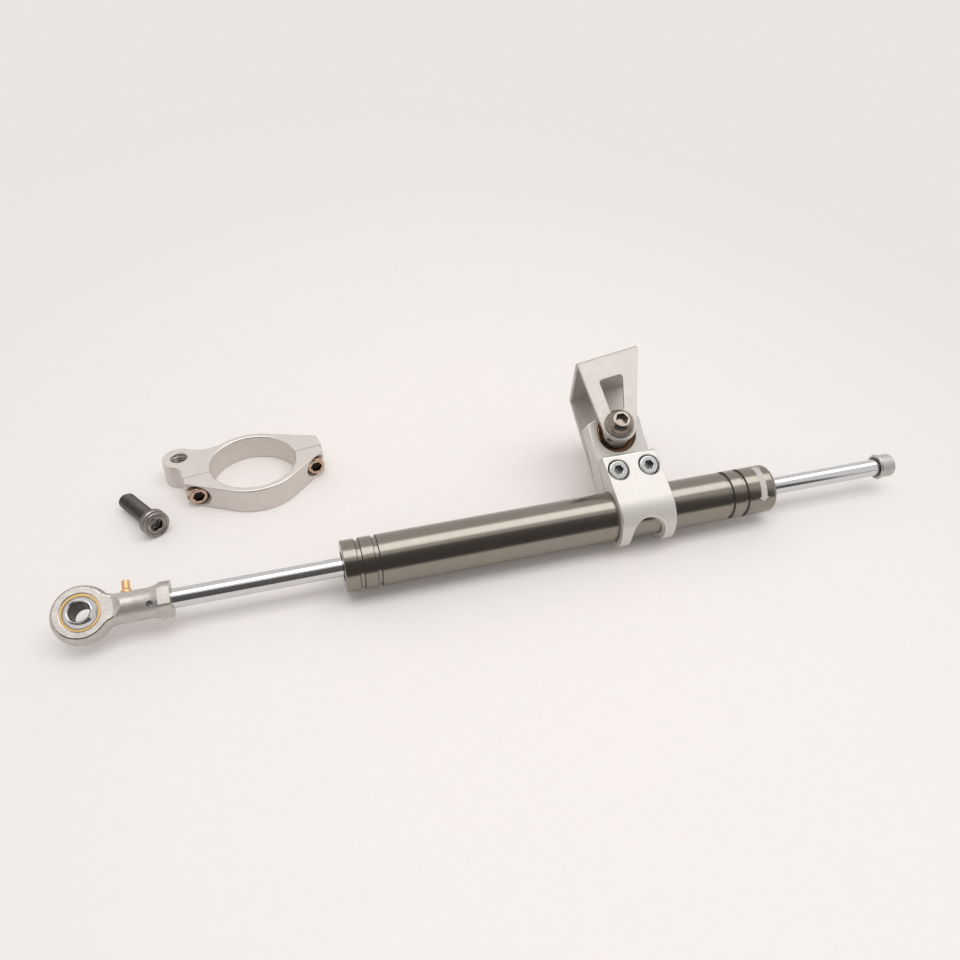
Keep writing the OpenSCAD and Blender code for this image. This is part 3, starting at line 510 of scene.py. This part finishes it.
# %% Tests for crisp edges
EYE_LEAN, EYE_HALF, EYE_CLOSE = radians(30), 4.5, 0.05
EYE_AXIS = Vector((0, -sin(EYE_LEAN), cos(EYE_LEAN)))
FORK_MIDDLE, FORK_TURN = Vector((72.6, 87.0, 0)), radians(8.5)
SPLIT_REACH, HOLE_REACH = 0.4, 1
ear = next(mount for mount in frame["record"]["mounts"] if mount["name"] == "fork_ear_thread")
hole_r = ear["dims"]["r_mm"]


def off_the_eye_faces(edge):
    heights = [abs(vert.co.dot(EYE_AXIS)) / MM for vert in edge.verts]
    return any(abs(height - EYE_HALF) > EYE_CLOSE for height in heights)


def at_split_or_hole(edge):
    across = Vector((-sin(FORK_TURN), cos(FORK_TURN), 0))
    from_split = [abs((vert.co / MM - FORK_MIDDLE).dot(across)) for vert in edge.verts]
    from_axis = [(vert.co - Vector(ear["pos_m"])).xy.length / MM for vert in edge.verts]
    return max(from_split) < SPLIT_REACH or max(from_axis) < hole_r + HOLE_REACH


def off_the_groove_walls(edge):
    return all(face.material_index != INSIDE for face in edge.link_faces)


CRISP = {"rod_end_housing": off_the_eye_faces, "fork_clamp_ear_half": at_split_or_hole,
         "fork_clamp_cap_half": at_split_or_hole}
CRISP.update((node, off_the_groove_walls) for node in TUBE_NODES)
print("pieces with crisp edges:", len(CRISP))

# %% [markdown]
# ## Faces of hollows
# Sockets, the ball's bore and the walls of turned grooves see little light, so they take a dark
# finish that is painted shade. Their faces are found by shape: they look toward the axis of their
# screw or ball, or they stand square to the tube close to its surface. A screw's axis is the
# direction in which its points spread the most, and its head is where they stand furthest from that
# axis.

# %% Axis of a screw
def islands(shape):
    left = set(shape.verts)
    while left:
        group, todo = [], [left.pop()]
        while todo:
            vert = todo.pop()
            group.append(vert)
            fresh = {edge.other_vert(vert) for edge in vert.link_edges} & left
            left -= fresh
            todo.extend(fresh)
        yield group


def screw_axis(group):
    points = np.array([vert.co for vert in group])
    middle = points.mean(axis=0)
    axis = np.linalg.eigh(np.cov((points - middle).T))[1][:, -1]
    along = (points - middle) @ axis
    radius = np.linalg.norm(points - middle - np.outer(along, axis), axis=1)
    toward_head = 1 if along[radius.argmax()] > 0 else -1
    return Vector(middle), Vector(axis) * toward_head


print("made:", islands.__name__, screw_axis.__name__)

# %% Faces of hollows
SOCKET_REACH = {"clamp_screws": 2.4, "fork_clamp_bolts": 3.0}
BORE_REACH, GROOVE_WALL, END_MARGIN = 4.05, 0.9, 1
INWARD, UPRIGHT = 0.3, 0.9


def looks_inward(face, middle, axis, reach):
    away = [vert.co - middle for vert in face.verts]
    if max((v - axis * v.dot(axis)).length for v in away) > reach * MM:
        return False
    out = face.calc_center_median() - middle
    return face.normal.dot((out - axis * out.dot(axis)).normalized()) < INWARD


def socket_faces(shape, reach):
    for group in islands(shape):
        middle, axis = screw_axis(group)
        for face in {face for vert in group for face in vert.link_faces}:
            in_head = (face.calc_center_median() - middle).dot(axis) > 0
            if in_head and looks_inward(face, middle, axis, reach):
                yield face


def groove_walls(shape):
    deep = max(vert.co.yz.length for vert in shape.verts) - GROOVE_WALL * MM
    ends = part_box("left_head")[0].x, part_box("right_head")[1].x
    for face in shape.faces:
        upright = abs(face.normal.x) > UPRIGHT
        shallow = min(vert.co.yz.length for vert in face.verts) > deep
        from_end = min(abs(face.verts[0].co.x - end) for end in ends)
        if upright and shallow and from_end > END_MARGIN * MM:
            yield face


def hollow_faces(shape, node):
    if node in SOCKET_REACH:
        return list(socket_faces(shape, SOCKET_REACH[node]))
    if node == "rod_end_ball":
        return [face for face in shape.faces if looks_inward(face, Vector(), EYE_AXIS, BORE_REACH)]
    return list(groove_walls(shape)) if node in TUBE_NODES else []


print("screws with sockets:", len(SOCKET_REACH))

# %% [markdown]
# ## Softened pieces
# Each number is the width of a piece's rounds in millimetres. The clamps and the forged rod end
# have wide ones, and the screws and turned parts have narrow ones. The other solids are hidden
# inside or show hardly an edge, so they stay as they are.

# %% Softened pieces
SOFTENED = {"clamp_front_half": 0.35, "clamp_rear_half": 0.35, "frame_bracket": 0.2,
            "rod_end_housing": 0.4, "adjuster_knob": 0.15,
            "fork_clamp_ear_half": 0.5, "fork_clamp_cap_half": 0.5,
            "cylinder_tube": 0.18, "left_head": 0.18, "right_head": 0.18, "clamp_screws": 0.12,
            "fork_clamp_bolts": 0.12, "grease_nipple": 0.12, "pivot_bolt": 0.15, "pivot_nut": 0.15,
            "rod_end_ball": 0.1, "swivel_race": 0.25}
for node, width in SOFTENED.items():
    shape = bmesh.new()
    shape.from_mesh(frame["nodes"][node].data)
    join_flats(shape)
    # Faces of hollows take the dark finish that is painted shade.
    for face in hollow_faces(shape, node):
        face.material_index = INSIDE
    soften(shape, width, CRISP.get(node))
    piece = new_object("soft_" + node, shape)
    dress(piece, node)
    print(piece.name, len(piece.data.polygons), "faces")

# %% [markdown]
# ## Threads
# A thread is a ridge that climbs one pitch in each turn. Spin does this when it is given a step
# along the axis as well: a short zigzag becomes a screw surface. Cutting that surface square with
# two planes leaves two open rims, and filling these makes it a closed shell.

# %% Screw surface
STEPS_PER_TURN, CREST_SHARE = 32, 0.16


def section_line(shape, section, closed=False):
    points = [shape.verts.new((r * MM, 0, z * MM)) for r, z in section]
    following = points[1:] + points[:1] if closed else points[1:]
    return points + [shape.edges.new(pair) for pair in zip(points, following)]


def wind(shape, line, turns, pitch):
    bmesh.ops.spin(shape, geom=line, cent=(0, 0, 0), axis=(0, 0, 1), angle=2 * pi * turns,
                   steps=STEPS_PER_TURN * turns, dvec=(0, 0, pitch / STEPS_PER_TURN * MM))


def screw_surface(low, high, root_r, crest_r, pitch):
    shape = bmesh.new()
    rise = (1 - CREST_SHARE) / 2
    places = ((root_r, 0), (crest_r, rise), (crest_r, 1 - rise), (root_r, 1))
    line = section_line(shape, [(r, low + (share - 1) * pitch) for r, share in places])
    wind(shape, line, ceil((high - low) / pitch) + 2, pitch)
    bmesh.ops.remove_doubles(shape, verts=shape.verts, dist=WELD)
    for height, up in ((low, -1), (high, 1)):
        everything = shape.verts[:] + shape.edges[:] + shape.faces[:]
        bmesh.ops.bisect_plane(shape, geom=everything, plane_co=(0, 0, height * MM),
                               plane_no=(0, 0, up), clear_outer=True)
    return shape


print("thread of %d steps per turn" % STEPS_PER_TURN)

# %% [markdown]
# ## Loose bolt
# The bolt that fastens the rod end lies beside the damper: a socket head with a raised ring round
# its socket, a groove round its side, and a blackened M8 thread. The head is turned from a section
# with spin, and the hexagon socket is bridged into the open middle of that turned shape. A boolean
# could cut the socket, but a bridge leaves few and clean faces. Heights are measured from the
# head's underside, with the shank above it and the head below.

# %% Head of the bolt
BOLT_HEAD, BOLT_HEAD_R, BOLT_EDGE, LATHE_STEPS = 5.0, 6.2, 0.25, 48
SOCKET_R, SOCKET_MOUTH_R, SOCKET_RIM, SOCKET_DEPTH = 2.887, 3.1, 0.25, 2.8
DISH_FROM, DISH_TO, DISH_DEPTH, SLOPE = 3.75, 5.4, 0.25, 0.2
GROOVE_FROM, GROOVE_TO, GROOVE_DEPTH = -2.9, -2.1, 0.25
TOP_CHAMFER, FOOT_CHAMFER, NECK_R, NECK_LENGTH = 0.4, 0.3, 3.8, 1.5


def turned(shape, section):
    bmesh.ops.spin(shape, geom=section_line(shape, section), cent=(0, 0, 0), axis=(0, 0, 1),
                   angle=2 * pi, steps=LATHE_STEPS, use_merge=True)
    bmesh.ops.remove_doubles(shape, verts=shape.verts, dist=WELD)


def head_section():
    face, side = -BOLT_HEAD, BOLT_HEAD_R
    dish, groove = face + DISH_DEPTH, side - GROOVE_DEPTH
    return ((SOCKET_MOUTH_R, face), (DISH_FROM, face), (DISH_FROM + SLOPE, dish),
            (DISH_TO - SLOPE, dish), (DISH_TO, face), (side - TOP_CHAMFER, face),
            (side, face + TOP_CHAMFER), (side, GROOVE_FROM), (groove, GROOVE_FROM + SLOPE),
            (groove, GROOVE_TO - SLOPE), (side, GROOVE_TO), (side, -FOOT_CHAMFER),
            (side - FOOT_CHAMFER, 0), (NECK_R, 0), (NECK_R, NECK_LENGTH), (0, NECK_LENGTH))


def bolt_head():
    shape = bmesh.new()
    turned(shape, head_section())
    mouth = [edge for edge in shape.edges if edge.is_boundary]
    rim_place = Matrix.Translation((0, 0, (SOCKET_RIM - BOLT_HEAD) * MM))
    hexagon = bmesh.ops.create_circle(shape, segments=6, radius=SOCKET_R * MM, matrix=rim_place)
    rim = list({edge for vert in hexagon["verts"] for edge in vert.link_edges})
    bmesh.ops.bridge_loops(shape, edges=mouth + rim)
    deeper = bmesh.ops.extrude_edge_only(shape, edges=rim)["geom"]
    floor = [item for item in deeper if isinstance(item, bmesh.types.BMVert)]
    bmesh.ops.translate(shape, verts=floor, vec=(0, 0, (SOCKET_DEPTH - SOCKET_RIM) * MM))
    floor_rim = [item for item in deeper if isinstance(item, bmesh.types.BMEdge)]
    bmesh.ops.contextual_create(shape, geom=floor_rim)
    join_flats(shape)
    bmesh.ops.recalc_face_normals(shape, faces=shape.faces)
    soften(shape, BOLT_EDGE)
    return shape


bolt = bolt_head()
print("bolt head:", len(bolt.faces), "faces")

# %% Shank of the bolt
BOLT_LENGTH, BOLT_R, BOLT_PITCH, BOLT_THREAD_DEPTH = 25.0, 4.0, 1.25, 0.65
THREAD_FROM, THREAD_TO = 0.9, BOLT_LENGTH - 0.7
TIP_FROM, TIP_SLOPE_FROM, TIP_R, TIP_END_R = BOLT_LENGTH - 1.5, BOLT_LENGTH - 0.6, 3.3, 2.9


def bolt_shank():
    root_r = BOLT_R - BOLT_THREAD_DEPTH
    shape = screw_surface(THREAD_FROM, THREAD_TO, root_r, BOLT_R, BOLT_PITCH)
    bmesh.ops.holes_fill(shape, edges=[edge for edge in shape.edges if edge.is_boundary])
    turned(shape, ((0, TIP_FROM), (TIP_R, TIP_FROM), (TIP_R, TIP_SLOPE_FROM),
                   (TIP_END_R, BOLT_LENGTH), (0, BOLT_LENGTH)))
    bmesh.ops.recalc_face_normals(shape, faces=shape.faces)
    return shape


shank = bolt_shank()
print("bolt shank:", len(shank.faces), "faces")

# %% [markdown]
# ## Laying the bolt down
# The bolt rests on the rim of its head and the tip of its shank, so it leans by a small angle that
# follows from their radii. The head, the thread and the tip are closed shells that overlap a
# little. A boolean could join them, but the bolt would look the same.

# %% Loose bolt on the table
BOLT_PLACE, BOLT_TURN = (24.4, 62.0), radians(119)
lie = atan((BOLT_HEAD_R - BOLT_R) / BOLT_LENGTH)
head_height = table_height + BOLT_HEAD_R * cos(lie) * MM
rest = Vector((BOLT_PLACE[0] * MM, BOLT_PLACE[1] * MM, head_height))
laid = Matrix.Translation(rest) @ Matrix.Rotation(BOLT_TURN, 4, "Z")
laid = laid @ Matrix.Rotation(radians(90) + lie, 4, "Y")
shank_mesh = bpy.data.meshes.new("bolt_shank")
shank.to_mesh(shank_mesh)
shank.free()
bolt.from_mesh(shank_mesh)
bmesh.ops.transform(bolt, matrix=laid, verts=bolt.verts)
piece = new_object("threaded_mounting_bolt", bolt)
dress(piece, "mounting_bolt")
print(piece.name, len(piece.data.polygons), "faces, leaning %.1f degrees" % degrees(lie))

# %% [markdown]
# ## Thread in the ear
# The fork clamp's ear holds the mounting bolt, so its hole is tapped. The hole itself is already in
# the solid, so only the ridge is added here: a closed section is wound up the hole, and its back
# lies inside the wall.

# %% Thread in the ear
EAR_PITCH, EAR_DEPTH, EAR_TURNS = 1.25, 0.55, 8
EAR_START, EAR_OVERLAP, EAR_RISES = 0.5, 0.05, (0.0, 0.5, 0.65, 1.15)
low = table_height / MM + EAR_START
back_r, crest_r = hole_r + EAR_OVERLAP, hole_r - EAR_DEPTH
section = [(r, low + z) for r, z in zip((back_r, crest_r, crest_r, back_r), EAR_RISES)]
shape = bmesh.new()
wind(shape, section_line(shape, section, closed=True), EAR_TURNS, EAR_PITCH)
bmesh.ops.holes_fill(shape, edges=[edge for edge in shape.edges if edge.is_boundary])
bmesh.ops.recalc_face_normals(shape, faces=shape.faces)
bmesh.ops.translate(shape, verts=shape.verts, vec=(ear["pos_m"][0], ear["pos_m"][1], 0))
piece = new_object("ear_thread", shape)
piece.data.materials.append(metal("cut_thread", (0.34, 0.31, 0.29), 0.35, 0.003, 2500))
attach(piece, "fork_clamp")
print(piece.name, len(piece.data.polygons), "faces")

# %% [markdown]
# ## Turn arrow
# A double arrow printed round the right head tells which way the damping is turned. A mask in the
# head's finish could draw it, but a thin mesh has cleaner edges: a strip is cut to the arrow's
# outline, bent round the head, and given three hundredths of a millimetre.

# %% Turn arrow
ARROW_X, ARROW_SLANT, ARROW_FROM, ARROW_TO, ARROW_STEPS = 293.4, 1.2, 10.6, 112.0, 100
ARROW_SHAFT, ARROW_BARB, ARROW_HEAD, PRINT = 1.5, 2.75, 11.0, 0.03
head_r = (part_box("right_head")[1].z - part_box("right_head")[0].z) / 2 / MM

shape = bmesh.new()
bmesh.ops.create_grid(shape, x_segments=2, y_segments=ARROW_STEPS, size=1)
for vert in shape.verts:
    share = (vert.co.y + 1) / 2
    along = share * (ARROW_TO - ARROW_FROM)
    to_tip = min(along, ARROW_TO - ARROW_FROM - along)
    half = to_tip / ARROW_HEAD * ARROW_BARB if to_tip <= ARROW_HEAD else ARROW_SHAFT
    x = ARROW_X + (share - 0.5) * ARROW_SLANT + vert.co.x * half
    turn = radians(ARROW_FROM + along)
    vert.co = Vector((x, -(head_r + PRINT) * cos(turn), (head_r + PRINT) * sin(turn))) * MM
bmesh.ops.remove_doubles(shape, verts=shape.verts, dist=WELD)
bmesh.ops.solidify(shape, geom=shape.faces, thickness=PRINT * MM)
bmesh.ops.recalc_face_normals(shape, faces=shape.faces)
piece = new_object("turn_arrow", shape)
white_print = metal("white_print", (0.54, 0.52, 0.49), 0.5, 0.002, 3000, mottle=0.05, metallic=0.0)
piece.data.materials.append(white_print)
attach(piece, "damper_body")
print(piece.name, len(piece.data.polygons), "faces")
